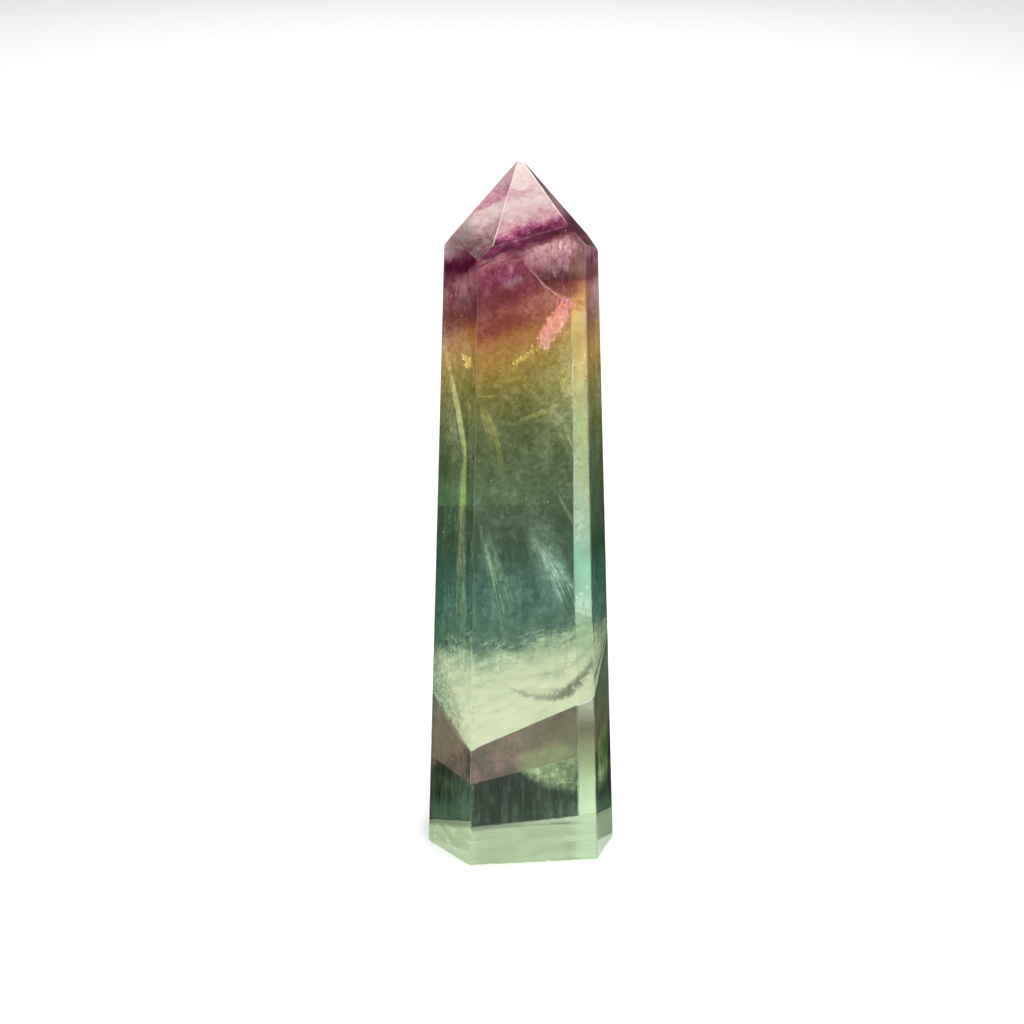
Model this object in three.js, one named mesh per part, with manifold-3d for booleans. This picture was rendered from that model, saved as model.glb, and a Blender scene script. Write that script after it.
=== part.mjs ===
// Fluorite tower: a six-sided point ground and polished from one piece of banded fluorite.
// Millimetres, +Z up. The front flat faces -Y, the tower stands on its flat base, and the
// origin lies under the middle of its box.
import * as THREE from 'three';
import { mergeVertices } from 'three/addons/utils/BufferGeometryUtils.js';
import Module from 'manifold-3d';

// Each flat is a plane. bearing: degrees from +X towards +Y that its outward normal faces.
// lean: degrees that the normal rises above the horizon. reach: its distance from the foot
// of the tower's axis. The sides lean in by about 1.6 degrees, so the tower tapers.
const SIDES = [
  { name: 'front', bearing: -90.0, lean: 1.6, reach: 9.89 },
  { name: 'right', bearing: -22.1, lean: 1.61, reach: 11.57 },
  { name: 'back_right', bearing: 18.4, lean: 1.45, reach: 10.83 },
  { name: 'back', bearing: 90.1, lean: 1.44, reach: 9.91 },
  { name: 'back_left', bearing: 161.0, lean: 1.55, reach: 11.53 },
  { name: 'left', bearing: -159.5, lean: 1.63, reach: 11.13 },
];

// The six facets of the point, all at about 40 degrees above the horizon.
const FACETS = [
  { name: 'tip_left', bearing: -146.5, lean: 42.2, reach: 60.3 },
  { name: 'tip_front', bearing: -104.7, lean: 44.9, reach: 63.08 },
  { name: 'tip_right', bearing: -6.7, lean: 39.5, reach: 57.31 },
  { name: 'tip_back_right', bearing: 20.4, lean: 39.1, reach: 57.05 },
  { name: 'tip_back', bearing: 89.5, lean: 37.0, reach: 54.55 },
  { name: 'tip_back_left', bearing: 158.3, lean: 39.4, reach: 57.46 },
];

const BASE = { name: 'base', bearing: 0, lean: -90, reach: 0 };

// Widths of the narrow polished bevels, by where the edge lies.
const CORNER_BEVEL = 0.34;
const POINT_BEVEL = 0.26;
const RIM_BEVEL = 0.32;

// Chips knocked out of the base rim: the side they lie under, how far along that side's rim
// from 0 to 1, their size and their turn in degrees. Fluorite cleaves along octahedron faces.
const CHIPS = [
  { side: 'front', along: 0.07, size: 0.55, turn: 20 },
  { side: 'front', along: 0.16, size: 0.75, turn: 65 },
  { side: 'front', along: 0.31, size: 0.5, turn: 10 },
  { side: 'front', along: 0.47, size: 0.6, turn: 48 },
  { side: 'front', along: 0.62, size: 0.8, turn: 31 },
  { side: 'front', along: 0.8, size: 0.5, turn: 75 },
  { side: 'left', along: 0.35, size: 0.6, turn: 54 },
  { side: 'left', along: 0.7, size: 0.45, turn: 15 },
  { side: 'left', along: 0.03, size: 0.8, turn: 30 },
  { side: 'left', along: 0.97, size: 0.6, turn: 12 },
  { side: 'right', along: 0.55, size: 0.55, turn: 38 },
  { side: 'back_right', along: 0.4, size: 0.7, turn: 5 },
  { side: 'back', along: 0.25, size: 0.6, turn: 27 },
  { side: 'back', along: 0.68, size: 0.85, turn: 60 },
  { side: 'back_left', along: 0.5, size: 0.65, turn: 40 },
];
const CHIP_OVERHANG = 0.22;

// The rough block the flats are ground on, larger than the tower every way.
const BLOCK_WIDTH = 40;
const BLOCK_HEIGHT = 110;
const GRIND_WIDTH = 400;

const wasm = await Module();
wasm.setup();

// A closed geometry as a solid that can be cut.
function solidOf(geometry) {
  const bare = geometry.clone();
  bare.deleteAttribute('normal');
  bare.deleteAttribute('uv');
  const merged = mergeVertices(bare, 1e-5);
  return new wasm.Manifold(new wasm.Mesh({
    numProp: 3,
    vertProperties: Float32Array.from(merged.attributes.position.array),
    triVerts: Uint32Array.from(merged.index.array),
  }));
}

// A flat as a plane with its outward normal.
function planeOf({ bearing, lean, reach }) {
  const turn = THREE.MathUtils.degToRad(bearing);
  const rise = THREE.MathUtils.degToRad(lean);
  const level = Math.cos(rise);
  const normal = new THREE.Vector3(level * Math.cos(turn), level * Math.sin(turn), Math.sin(rise));
  return { normal, reach };
}

// Grinds away everything outside one plane.
function grind(stone, { normal, reach }) {
  const waste = new THREE.BoxGeometry(GRIND_WIDTH, GRIND_WIDTH, GRIND_WIDTH);
  waste.translate(0, 0, GRIND_WIDTH / 2);
  const up = new THREE.Vector3(0, 0, 1);
  waste.applyQuaternion(new THREE.Quaternion().setFromUnitVectors(up, normal));
  waste.translate(normal.x * reach, normal.y * reach, normal.z * reach);
  return stone.subtract(solidOf(waste));
}

// The edge two planes share: the stretch of the line where they meet that lies inside all
// the other planes, or null where they don't meet on the stone.
function sharedEdge(a, b, planes) {
  const along = a.normal.clone().cross(b.normal);
  const steepness = along.lengthSq();
  if (steepness < 1e-6) {
    return null;
  }
  const point = b.normal.clone().cross(along).multiplyScalar(a.reach / steepness);
  point.addScaledVector(along.clone().cross(a.normal), b.reach / steepness);
  let low = -Infinity;
  let high = Infinity;
  for (const other of planes.filter((plane) => plane !== a && plane !== b)) {
    const slope = other.normal.dot(along);
    const limit = (other.reach - other.normal.dot(point)) / slope;
    if (slope > 0) {
      high = Math.min(high, limit);
    } else {
      low = Math.max(low, limit);
    }
  }
  if (high <= low) {
    return null;
  }
  const start = point.clone().addScaledVector(along, low);
  const end = point.clone().addScaledVector(along, high);
  return new THREE.Line3(start, end);
}

// The bevel plane of an edge: square to the line halfway between the two flats, set in so
// that the bevel comes out at the given width.
function bevelOf(a, b, width) {
  const sum = a.normal.clone().add(b.normal);
  const halfTurn = a.normal.angleTo(b.normal) / 2;
  const depth = (width / 2) * Math.tan(halfTurn);
  const reach = (a.reach + b.reach) / sum.length() - depth;
  return { normal: sum.normalize(), reach };
}

function bevelWidth(a, b) {
  if (a.kind === 'base' || b.kind === 'base') {
    return RIM_BEVEL;
  }
  return a.kind === 'side' && b.kind === 'side' ? CORNER_BEVEL : POINT_BEVEL;
}

// One chip: an octahedron that overhangs the rim and bites a small notch out of it.
function chipSolid({ along, size, turn }, side, rim) {
  const bite = new THREE.OctahedronGeometry(size);
  const angle = THREE.MathUtils.degToRad(turn);
  bite.rotateZ(angle);
  bite.rotateX(angle / 2);
  const place = rim.at(along, new THREE.Vector3());
  place.addScaledVector(side.normal, size * CHIP_OVERHANG);
  place.z -= size * CHIP_OVERHANG;
  bite.translate(place.x, place.y, place.z);
  return solidOf(bite);
}

function buildTower() {
  const planes = [
    ...SIDES.map((flat) => ({ ...planeOf(flat), name: flat.name, kind: 'side' })),
    ...FACETS.map((flat) => ({ ...planeOf(flat), name: flat.name, kind: 'tip' })),
    { ...planeOf(BASE), name: BASE.name, kind: 'base' },
  ];
  const rough = new THREE.BoxGeometry(BLOCK_WIDTH, BLOCK_WIDTH, BLOCK_HEIGHT);
  rough.translate(0, 0, BLOCK_HEIGHT / 2 - 5);
  let stone = solidOf(rough);
  for (const plane of planes) {
    stone = grind(stone, plane);
  }
  planes.forEach((a, i) => {
    for (const b of planes.slice(i + 1)) {
      if (sharedEdge(a, b, planes)) {
        stone = grind(stone, bevelOf(a, b, bevelWidth(a, b)));
      }
    }
  });
  const base = planes.find((plane) => plane.kind === 'base');
  for (const chip of CHIPS) {
    const side = planes.find((plane) => plane.name === chip.side);
    stone = stone.subtract(chipSolid(chip, side, sharedEdge(side, base, planes)));
  }
  const cut = stone.getMesh();
  const geometry = new THREE.BufferGeometry();
  geometry.setAttribute('position', new THREE.BufferAttribute(cut.vertProperties, cut.numProp));
  geometry.setIndex(new THREE.BufferAttribute(cut.triVerts, 1));
  geometry.computeBoundingBox();
  const middle = geometry.boundingBox.getCenter(new THREE.Vector3());
  geometry.translate(-middle.x, -middle.y, -geometry.boundingBox.min.z);
  return geometry;
}

// Pale green, clear and glossy.
const fluorite = new THREE.MeshStandardMaterial({
  color: 0x86a98c,
  roughness: 0.08,
  metalness: 0,
  flatShading: true,
});

const tower = new THREE.Mesh(buildTower(), fluorite);
tower.name = 'tower';

const model = new THREE.Group();
model.add(tower);

export default model;
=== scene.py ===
import itertools
import math
from types import SimpleNamespace

import bmesh
import bpy
import numpy as np
from mathutils import Matrix, Quaternion, Vector


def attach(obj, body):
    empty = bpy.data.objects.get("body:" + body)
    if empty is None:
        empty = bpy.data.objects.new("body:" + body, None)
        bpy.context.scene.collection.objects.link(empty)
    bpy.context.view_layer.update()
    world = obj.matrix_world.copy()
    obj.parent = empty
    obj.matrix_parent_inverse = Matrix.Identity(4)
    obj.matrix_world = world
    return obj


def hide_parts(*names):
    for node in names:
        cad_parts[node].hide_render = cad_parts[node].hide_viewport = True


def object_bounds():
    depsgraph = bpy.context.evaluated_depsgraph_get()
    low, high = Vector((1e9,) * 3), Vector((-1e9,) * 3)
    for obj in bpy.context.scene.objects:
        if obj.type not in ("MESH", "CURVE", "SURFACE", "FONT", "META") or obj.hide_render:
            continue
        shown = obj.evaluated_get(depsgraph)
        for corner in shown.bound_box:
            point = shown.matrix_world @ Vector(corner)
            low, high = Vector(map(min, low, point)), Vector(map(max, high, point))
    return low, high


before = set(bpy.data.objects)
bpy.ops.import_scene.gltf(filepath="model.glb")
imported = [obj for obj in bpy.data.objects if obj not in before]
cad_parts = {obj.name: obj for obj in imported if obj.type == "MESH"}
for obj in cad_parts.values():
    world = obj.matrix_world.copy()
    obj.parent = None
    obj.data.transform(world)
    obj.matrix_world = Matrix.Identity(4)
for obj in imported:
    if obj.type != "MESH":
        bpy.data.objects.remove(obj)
cadLow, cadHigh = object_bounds()
mm = 0.001
tiny = 1e-6                     # slack where two numbers count as the same
print("frame loaded")


class Wire:
    # one output socket of a node; an expression on wires adds the Math nodes it needs

    def __init__(self, maker, socket):
        self.maker = maker
        self.socket = socket

    def maths(self, operation, *values):
        inputs = dict(enumerate(values))
        return self.maker.node("ShaderNodeMath", {"operation": operation}, inputs)

    def __add__(self, other):
        return self.maths("ADD", self, other)

    def __sub__(self, other):
        return self.maths("SUBTRACT", self, other)

    def __rsub__(self, other):
        return self.maths("SUBTRACT", other, self)

    def __mul__(self, other):
        return self.maths("MULTIPLY", self, other)

    def __truediv__(self, other):
        return self.maths("DIVIDE", self, other)

    def __pow__(self, other):
        return self.maths("POWER", self, other)

    def least(self, other):
        return self.maths("MINIMUM", self, other)

    def most(self, other):
        return self.maths("MAXIMUM", self, other)

    def size(self):
        return self.maths("ABSOLUTE", self)

    def step(self, low, high):
        # 0 below low, 1 above high, smooth between
        settings = {"interpolation_type": "SMOOTHSTEP"}
        inputs = {"Value": self, "From Min": low, "From Max": high}
        return self.maker.node("ShaderNodeMapRange", settings, inputs)

    def bump(self, centre, width):
        # 1 at centre, falling smoothly to 0 at a width away
        return 1 - (self - centre).size().step(0, width)

    __radd__ = __add__
    __rmul__ = __mul__


class Finish:
    # a material under construction; node() adds any node, its settings first

    def __init__(self, name):
        self.material = bpy.data.materials.new(name)
        self.material.use_nodes = True
        self.tree = self.material.node_tree
        self.tree.nodes.clear()

    def node(self, kind, settings=None, inputs=None, out=0):
        node = self.tree.nodes.new(kind)
        for name, value in (settings or {}).items():
            if name == "stops":
                self.setStops(node.color_ramp, value)
            else:
                setattr(node, name, value)
        for name, value in (inputs or {}).items():
            if isinstance(value, Wire):
                self.tree.links.new(value.socket, node.inputs[name])
            else:
                node.inputs[name].default_value = value
        return Wire(self, node.outputs[out])

    def setStops(self, ramp, stops):
        while len(ramp.elements) < len(stops):
            ramp.elements.new(0.5)
        for element, (position, _) in zip(ramp.elements, stops):
            element.position = position
        for element, (_, colour) in zip(ramp.elements, stops):
            element.color = rgba(colour)

    def ramp(self, bands, span, value):
        # each band's colour at its own value, blended in between; span is what the ramp covers
        low, high = span
        stops = [((at - low) / (high - low), colour) for at, colour in bands]
        return self.node("ShaderNodeValToRGB", {"stops": stops}, {0: (value - low) / (high - low)})

    def place(self):
        # the piece's own coordinates, in millimetres
        own = self.node("ShaderNodeTexCoord", out=3)
        return self.node("ShaderNodeVectorMath", {"operation": "SCALE"}, {0: own, "Scale": 1 / mm})

    def axes(self, vector):
        return [self.node("ShaderNodeSeparateXYZ", None, {0: vector}, out=i) for i in range(3)]

    def noise(self, vector, scale, detail=2.0, roughness=0.5):
        inputs = {"Vector": vector, "Scale": scale, "Detail": detail, "Roughness": roughness}
        return self.node("ShaderNodeTexNoise", None, inputs)

    def stretched(self, vector, turn, scale):
        # the vector turned by radians and scaled along each axis
        inputs = {"Vector": vector, "Rotation": turn, "Scale": scale}
        return self.node("ShaderNodeMapping", {"vector_type": "POINT"}, inputs)

    def blend(self, share, first, second, kind="MIX"):
        settings = {"data_type": "RGBA", "blend_type": kind}
        return self.node("ShaderNodeMix", settings, {0: share, 6: first, 7: second}, out=2)

    def between(self, share, pair):
        # the first colour of a pair where the share is 0, the second where it is 1
        return self.blend(share, rgba(pair[0]), rgba(pair[1]))

    def finish(self, surface):
        output = self.tree.nodes.new("ShaderNodeOutputMaterial")
        self.tree.links.new(surface.socket, output.inputs["Surface"])
        return self.material


def tone(red, green, blue):
    # a colour given on a 0 to 255 scale, as the linear values shaders use
    return tuple(((value / 255 + 0.055) / 1.055) ** 2.4 for value in (red, green, blue))


def rgba(colour):
    return (*colour, 1)


def gridFaces(rows, columns, closed=False):
    # quads between neighbouring rows; closed joins the last column to the first
    last = columns if closed else columns - 1
    row, column = np.meshgrid(np.arange(rows - 1), np.arange(last), indexing="ij")
    beside = (column + 1) % columns
    corners = [row * columns + column, row * columns + beside,
               (row + 1) * columns + beside, (row + 1) * columns + column]
    return np.stack(corners, axis=-1).reshape(-1, 4)


def makePiece(name, points, faces, material, smooth=True, spread=None, marks=None):
    # spread gives each point its place on the piece's own UV map, marks its named attributes
    mesh = bpy.data.meshes.new(name)
    mesh.from_pydata(points.reshape(-1, 3).tolist(), [], faces.tolist())
    mesh.polygons.foreach_set("use_smooth", np.full(len(mesh.polygons), smooth))
    if spread is not None:
        owners = np.empty(len(mesh.loops), int)
        mesh.loops.foreach_get("vertex_index", owners)
        mesh.uv_layers.new(name="spread").data.foreach_set("uv", spread.reshape(-1, 2)[owners].ravel())
    for mark, values in (marks or {}).items():
        mesh.attributes.new(mark, "FLOAT", "POINT").data.foreach_set("value", values.ravel())
    mesh.materials.append(material)
    mesh.update()
    piece = bpy.data.objects.new(name, mesh)
    bpy.context.scene.collection.objects.link(piece)
    return piece


view = {
    "turn": -8.57,          # degrees round the tower from straight in front
    "rise": 16.0,           # degrees above the horizon
    "distance": 700 * mm,
    "aim": (-1.08 * mm, -0.03 * mm, 44.05 * mm),
    "lens": 192.49,
    "sensor": 36,
    "nearest": 10 * mm,
}


def makeCamera():
    turn = math.radians(view["turn"])
    rise = math.radians(view["rise"])
    level = math.cos(rise)
    back = Vector((math.sin(turn) * level, -math.cos(turn) * level, math.sin(rise)))
    data = bpy.data.cameras.new("camera")
    data.lens = view["lens"]
    data.sensor_width = view["sensor"]
    data.clip_start = view["nearest"]
    camera = bpy.data.objects.new("camera", data)
    camera.location = Vector(view["aim"]) + back * view["distance"]
    camera.rotation_euler = (-back).to_track_quat("-Z", "Y").to_euler()
    bpy.context.scene.collection.objects.link(camera)
    bpy.context.scene.camera = camera


studio = {
    "floorDrop": 0.05 * mm,     # the floor lies this far under the base
    "floorWidth": 6.0,
    "floorColour": (0.86, 0.86, 0.86),
    "floorRoughness": 0.6,
    "skyStrength": 0.5,
    "cardColour": (0.06, 0.06, 0.06),
    "cardRoughness": 0.9,
}


def makeFloor():
    half = studio["floorWidth"] / 2
    low = -studio["floorDrop"]
    points = np.array([[-half, -half, low], [half, -half, low], [half, half, low], [-half, half, low]])
    paint = Finish("floorPaint")
    shader = paint.node("ShaderNodeBsdfPrincipled", None, {
        "Base Color": rgba(studio["floorColour"]),
        "Roughness": studio["floorRoughness"],
    })
    floor = makePiece("floor", points, np.array([[0, 1, 2, 3]]), paint.finish(shader), False)


def makeSky():
    sky = bpy.data.worlds.new("sky")
    sky.use_nodes = True
    sky.node_tree.nodes["Background"].inputs["Color"].default_value = (1, 1, 1, 1)
    sky.node_tree.nodes["Background"].inputs["Strength"].default_value = studio["skyStrength"]
    bpy.context.scene.world = sky


softboxes = [
    # name, place in metres, aim in metres, width, height, watts, spread in degrees, turn
    ("keyLight", (0.1, -0.75, 0.75), (0, 0, 0.04), 0.5, 0.5, 4.0, 180, 0),
    ("tableLight", (0.02, 0.2, 0.9), (0.02, 0.2, 0), 0.35, 0.8, 0.75, 24, view["turn"]),
    ("floorLight", (-0.058, -0.104, 0.3), (-0.058, -0.104, 0), 0.05, 0.13, 0.07, 10, -27),
]


def makeSoftbox(name, place, aim, width, height, power, spread, turn):
    data = bpy.data.lights.new(name, "AREA")
    data.shape = "RECTANGLE"
    data.size = width
    data.size_y = height
    data.energy = power
    data.spread = math.radians(spread)
    light = bpy.data.objects.new(name, data)
    light.location = place
    facing = (Vector(aim) - Vector(place)).to_track_quat("-Z", "Y")
    light.rotation_euler = (facing @ Quaternion((0, 0, 1), math.radians(turn))).to_euler()
    light.visible_camera = False
    bpy.context.scene.collection.objects.link(light)


darkCards = [
    # name, x of the card, from y, to y, height, all in metres
    ("leftCard", -0.0128, -0.009, 0.30, 0.12),
    ("rightCard", 0.0128, -0.008, 0.30, 0.12),
]


def makeDarkCard(name, across, near, far, height):
    # a black card beside the stone that only its polished flats mirror
    points = np.array([[across, near, 0], [across, far, 0], [across, far, height], [across, near, height]])
    paint = Finish(name + "Paint")
    shader = paint.node("ShaderNodeBsdfPrincipled", None, {
        "Base Color": rgba(studio["cardColour"]),
        "Roughness": studio["cardRoughness"],
    })
    card = makePiece(name, points, np.array([[0, 1, 2, 3]]), paint.finish(shader), False)
    card.visible_camera = False
    card.visible_diffuse = False
    card.visible_transmission = False
    card.visible_shadow = False


makeCamera()
makeFloor()
makeSky()
for softbox in softboxes:
    makeSoftbox(*softbox)
for darkCard in darkCards:
    makeDarkCard(*darkCard)
bpy.context.scene.view_settings.view_transform = "Standard"
print("camera, floor and light made")


flatSearch = {
    "count": 13,                # six sides, six facets of the point, one base
    "smallest": 1e-4,           # square mm under which a triangle is left out
    "normalSteps": 50,          # normals are rounded to a fiftieth, reaches to a fifth of a mm
    "reachSteps": 5,
}


def cadFlats(node):
    # triangles with one normal and one reach are one flat; the largest flats come back as
    # normals and reaches in millimetres, each the mean of its triangles by area
    mesh = node.data
    mesh.calc_loop_triangles()
    places = np.empty(len(mesh.vertices) * 3)
    mesh.vertices.foreach_get("co", places)
    corners = np.empty(len(mesh.loop_triangles) * 3, int)
    mesh.loop_triangles.foreach_get("vertices", corners)
    triangles = (places.reshape(-1, 3) / mm)[corners.reshape(-1, 3)]
    crosses = np.cross(triangles[:, 1] - triangles[:, 0], triangles[:, 2] - triangles[:, 0])
    areas = np.linalg.norm(crosses, axis=1) / 2
    big = areas > flatSearch["smallest"]
    normals = crosses[big] / areas[big, None] / 2
    reaches = np.einsum("ij,ij->i", normals, triangles[big, 0])
    keys = [normals * flatSearch["normalSteps"], reaches * flatSearch["reachSteps"]]
    keys = np.round(np.column_stack(keys)).astype(int)
    member = np.unique(keys, axis=0, return_inverse=True)[1].ravel()
    weights = areas[big]
    largest = np.argsort(-np.bincount(member, weights))[:flatSearch["count"]]
    planes = np.column_stack([normals, reaches])
    mean = [np.average(planes[member == g], axis=0, weights=weights[member == g]) for g in largest]
    return np.array(mean)


stone = {
    "sideSlope": 0.2,           # a side's normal rises less than this, a facet's more
    "sharpness": 34.0,          # per mm; higher makes the polished edges crisper
    "columnStep": 0.13,         # mm between columns along the rim
    "rows": (14, 54, 34, 6),    # across the base, up the sides, up the point, over its top
    "clustering": 0.85,         # how strongly rows and columns crowd towards the edges
    "farAway": 50.0,            # mm, stands for the distance of chips out of reach
    "settling": 4,              # how often the points are moved onto the rounded shape
    "waveHeight": 0.004,        # mm of slow waviness left by hand polishing
    "waveFade": 3.0,            # mm over which the waves fade out at the foot and at the point
    "waveTop": 88.0,            # mm, where they end
    "nicks": 90,                # small chips besides the listed ones
    "nickSize": (0.12, 0.34),   # mm
    "overhang": 0.22,           # how far a chip's centre lies outside the rim, per mm of its size
    "chipReach": 1.0,           # mm above the base that a chip can change
    "spare": (0.002, 0.002, 0.0),   # mm kept clear inside the CAD box
    "edgeWidth": 0.1,           # mm of wear and painted highlight beside an edge
    "shoulderWear": 0.2,        # share of that wear and highlight where a side meets a facet
    "sideMilk": 0.6,            # the milk mark on the sides
    "seed": 7,
    "mergeWithin": 1e-7,        # metres between points that are made one
    "shortest": 1e-8,           # metres under which an edge is taken out
}

# chips in the rim: compass bearing of the side, place along it from 0 to 1, size in mm, turn
rimChips = [
    (-90.0, 0.07, 0.55, 20), (-90.0, 0.16, 0.75, 65), (-90.0, 0.31, 0.5, 10),
    (-90.0, 0.47, 0.6, 48), (-90.0, 0.62, 0.8, 31), (-90.0, 0.8, 0.5, 75),
    (-159.5, 0.35, 0.6, 54), (-159.5, 0.7, 0.45, 15), (-159.5, 0.03, 0.8, 30),
    (-159.5, 0.97, 0.6, 12), (-22.1, 0.55, 0.55, 38),
    (18.4, 0.4, 0.7, 5), (90.1, 0.25, 0.6, 27), (90.1, 0.68, 0.85, 60), (161.0, 0.5, 0.65, 40),
]


def meetingPoints(flats):
    # every point where three flats meet and that lies inside all the others
    points, members = [], []
    for trio in itertools.combinations(range(len(flats)), 3):
        chosen = flats[list(trio)]
        if abs(np.linalg.det(chosen[:, :3])) < tiny:
            continue
        point = np.linalg.solve(chosen[:, :3], chosen[:, 3])
        if (flats[:, :3] @ point <= flats[:, 3] + tiny).all():
            points.append(point)
            members.append(set(trio))
    return np.array(points), members


def flatKinds(flats):
    # the places in the list of the sides, the base and the point's facets, told by their slope
    slope = flats[:, 2]
    sides = set(np.flatnonzero(abs(slope) < stone["sideSlope"]).tolist())
    tips = set(np.flatnonzero(slope >= stone["sideSlope"]).tolist())
    return sides, set(range(len(flats))) - sides - tips, tips


def columnKeys(flats):
    # the stone's own corners as columns: each runs rim point, shoulder point, top point, and
    # neighbours span one plane side and one plane facet, so a straight blend stays on them
    sides, base, tips = flatKinds(flats)
    points, members = meetingPoints(flats)
    shoulder = [i for i, member in enumerate(members) if member & sides and member & tips]
    rims = {frozenset(member - base): points[i] for i, member in enumerate(members) if member & base}
    peaks = [i for i, member in enumerate(members) if member <= tips]
    pairs = [i for i in shoulder if len(members[i] & sides) == 2]
    corners = {frozenset(members[i] & sides): points[i] for i in pairs}
    keys = []
    for i in shoulder:
        touching = frozenset(members[i] & sides)
        if len(touching) == 2:
            rim = rims[touching]
        else:
            ends = [pair for pair in rims if touching < pair]
            run = corners[ends[1]] - corners[ends[0]]
            share = np.dot(points[i] - corners[ends[0]], run) / np.dot(run, run)
            rim = rims[ends[0]] + (rims[ends[1]] - rims[ends[0]]) * share
        own = members[i] & tips
        top = np.mean([points[j] for j in peaks if own <= members[j]], axis=0)
        keys.append((rim, points[i], top))
    keys.sort(key=lambda key: math.atan2(key[1][1], key[1][0]))
    return np.array(keys)


def crowded(count, strength):
    # 0 to 1 in count steps, drawn towards both ends by a cosine of the given strength
    even = np.linspace(0, 1, count + 1)
    return (1 - strength) * even + strength * (1 - np.cos(np.pi * even)) / 2


def stoneGrid(flats, look):
    # u runs round the stone through the key columns and v from the middle of the base over
    # rim, shoulder and top ring to the top's middle; each point is a straight blend of the
    # two key columns and the two key rings around it
    keys = columnKeys(flats)
    after = np.roll(keys, -1, axis=0)
    lengths = np.linalg.norm(after[:, 0] - keys[:, 0], axis=1)
    counts = np.maximum(6, np.round(lengths / look["columnStep"])).astype(int)
    rings = []
    for ring in range(3):
        gaps = after[:, ring] - keys[:, ring]
        runs = [keys[k, ring] + crowded(n, look["clustering"])[:-1, None] * gaps[k]
                for k, n in enumerate(counts)]
        rings.append(np.concatenate(runs))
    middle = np.zeros_like(rings[0]) + keys[:, 0].mean(0)
    peak = np.zeros_like(rings[0]) + keys[:, 2].mean(0)
    rings = [middle, *rings, peak]
    rows = []
    for k, n in enumerate(look["rows"]):
        shares = crowded(n, look["clustering"])
        shares = shares[(1 if k else 0):]
        rows.append(rings[k] + shares[:, None, None] * (rings[k + 1] - rings[k]))
    return np.concatenate(rows)


def chipPlaces(flats, look):
    # the listed chips and many small seeded nicks, each an octahedron centred just outside
    # the rim: centre, size and the matrix that turns the stone's axes to its own
    points, members = meetingPoints(flats)
    sides, base, _ = flatKinds(flats)
    sides = sorted(sides)
    draw = np.random.default_rng(look["seed"])
    bearings = np.degrees(np.arctan2(flats[sides, 1], flats[sides, 0]))
    wanted = [(sides[int(np.argmin(abs(bearings - bearing)))], along, size, turn)
              for bearing, along, size, turn in rimChips]
    for _ in range(look["nicks"]):
        side, along = sides[draw.integers(len(sides))], draw.uniform()
        wanted.append((side, along, draw.uniform(*look["nickSize"]), draw.uniform(0, 90)))
    chips = []
    for side, along, size, turn in wanted:
        ends = [points[i] for i, member in enumerate(members) if side in member and member & base]
        across = np.cross([0, 0, 1], flats[side, :3])
        ends.sort(key=lambda end: np.dot(end, across))
        centre = ends[0] + (ends[1] - ends[0]) * along
        centre = centre + (flats[side, :3] - [0, 0, 1]) * size * look["overhang"]
        spin = Matrix.Rotation(math.radians(turn), 3, "Z")
        tilt = Matrix.Rotation(math.radians(turn / 2), 3, "X")
        chips.append((centre, size, np.array(tilt @ spin).T))
    return chips


def settle(points, flats, chips, look):
    # moves each point along the slope of a smooth maximum, log of the sum of exponentials, of
    # the distances to the flats and to the chips' insides until it is 0, which rounds the edges
    for _ in range(look["settling"]):
        distances = points @ flats[:, :3].T - flats[:, 3]
        normals = np.broadcast_to(flats[:, :3], (*distances.shape, 3))
        low = points[..., 2].ravel() < look["chipReach"]
        lowPoints = points.reshape(-1, 3)[low]
        extra, slopes = [], []
        for centre, size, turn in chips:
            own = (lowPoints - centre) @ turn.T
            extra.append((size - np.abs(own).sum(1)) / math.sqrt(3))
            slopes.append(-np.sign(own) @ turn / math.sqrt(3))
        chipDistance = np.full((points[..., 0].size, len(chips)), -look["farAway"])
        chipDistance[low] = np.array(extra).T
        chipNormal = np.zeros((*chipDistance.shape, 3))
        chipNormal[low] = np.array(slopes).transpose(1, 0, 2)
        distances = np.concatenate([distances, chipDistance.reshape(*points.shape[:2], -1)], axis=2)
        normals = np.concatenate([normals, chipNormal.reshape(*points.shape[:2], -1, 3)], axis=2)
        top = distances.max(2, keepdims=True)
        weights = np.exp(look["sharpness"] * (distances - top))
        total = weights.sum(2, keepdims=True)
        height = top + np.log(total) / look["sharpness"]
        slope = (normals * (weights / total)[..., None]).sum(2)
        points = points - slope * height / (slope ** 2).sum(2, keepdims=True)
    return points


def polishWaves(points, look):
    # slow sine ripples across the flats, each pushed in by a few thousandths of a millimetre
    x, y, z = points[..., 0], points[..., 1], points[..., 2]
    ripple = np.sin(x * 0.9 + y * 0.5 + z * 0.31) + np.sin(z * 0.73 - x * 0.4 + y * 1.1 + 2.0)
    inward = points * [1, 1, 0]
    inward = inward / np.maximum(np.linalg.norm(inward, axis=2, keepdims=True), tiny)
    fade = np.clip(z / look["waveFade"], 0, 1) * np.clip((look["waveTop"] - z) / look["waveFade"], 0, 1)
    return points - inward * (look["waveHeight"] * (ripple + 2) / 2 * fade)[..., None]


flats = cadFlats(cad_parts["tower"])


flawInset = 0.08                # mm that every flaw keeps behind the flats


def inStone(points, inset):
    # points past a flat are pushed back along its normal to the given depth behind it
    for flat in flats:
        past = np.maximum(points @ flat[:3] - flat[3] + inset, 0)
        points = points - past[..., None] * flat[:3]
    return points


def makeFlaw(name, points, material, spread=None, faces=None):
    # a sheet inside the stone, from a grid of points in millimetres
    points = inStone(points, flawInset)
    faces = gridFaces(*points.shape[:2]) if faces is None else faces
    piece = makePiece(name, points * mm, faces, material, True, spread)
    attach(piece, "root")
    return piece


tipCloud = [
    # bearing of a facet of the point, how milky the stone is behind it
    (-104.7, 1.0), (-146.5, 0.8), (-6.7, 0.7), (20.4, 0.7), (89.5, 0.6), (158.3, 0.5),
]


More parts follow.
